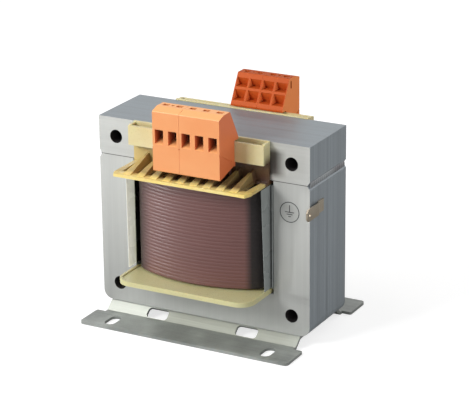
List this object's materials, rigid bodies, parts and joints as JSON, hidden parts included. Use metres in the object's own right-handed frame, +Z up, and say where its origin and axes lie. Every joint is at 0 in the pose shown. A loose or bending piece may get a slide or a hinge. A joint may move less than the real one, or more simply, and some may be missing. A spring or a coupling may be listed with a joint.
{
  "type": "control transformer",
  "caption": "open-frame control transformer: laminated core on sheet steel feet, cream bobbin with enamelled wire, orange clamp terminals along front and back",
  "frame": {"origin": "on the ground, under the middle of the core's footprint", "axes": "+X to the right along the core's width, +Y from the front terminals to the back, +Z up"},
  "size_m": [0.1219, 0.091, 0.1218],
  "materials": {
    "core_steel": "bare rolled electrical steel with sheet lines on its sides",
    "weld_metal": "rippled weld bead, slightly darker than the sheets",
    "foot_steel": "zinc-coated sheet steel",
    "bobbin_nylon": "natural cream nylon, slightly translucent",
    "enamelled_copper": "copper wire with dark red-brown enamel",
    "winding_wrap": "smooth yellowish insulating film",
    "liner_film": "clear, slightly milky plastic film",
    "terminal_plastic": "moulded orange polyamide, fine satin",
    "tinned_copper": "tin-plated copper",
    "spring_steel": "bright spring steel",
    "tab_brass": "brass blade, dulled"
  },
  "bodies": {
    "root": {"core_e_stack": "core_steel", "core_i_stack": "core_steel", "weld_bead_right": "weld_metal", "weld_bead_left": "weld_metal", "foot_bracket_front": "foot_steel", "foot_bracket_back": "foot_steel", "foot_welds_front": "weld_metal", "foot_welds_back": "weld_metal", "bobbin": "bobbin_nylon", "primary_winding": "enamelled_copper", "interlayer_wrap": "winding_wrap", "secondary_winding": "enamelled_copper", "side_liner_right": "liner_film", "side_liner_left": "liner_film", "front_terminal_two_pole": "terminal_plastic", "front_terminal_three_pole": "terminal_plastic", "back_terminal_left": "terminal_plastic", "back_terminal_right": "terminal_plastic", "front_current_bars": "tinned_copper", "back_current_bars": "tinned_copper", "front_clamp_springs": "spring_steel", "back_clamp_springs": "spring_steel", "front_winding_leads": "enamelled_copper", "back_winding_leads": "enamelled_copper", "earth_tab": "tab_brass"}
  },
  "joints": []
}
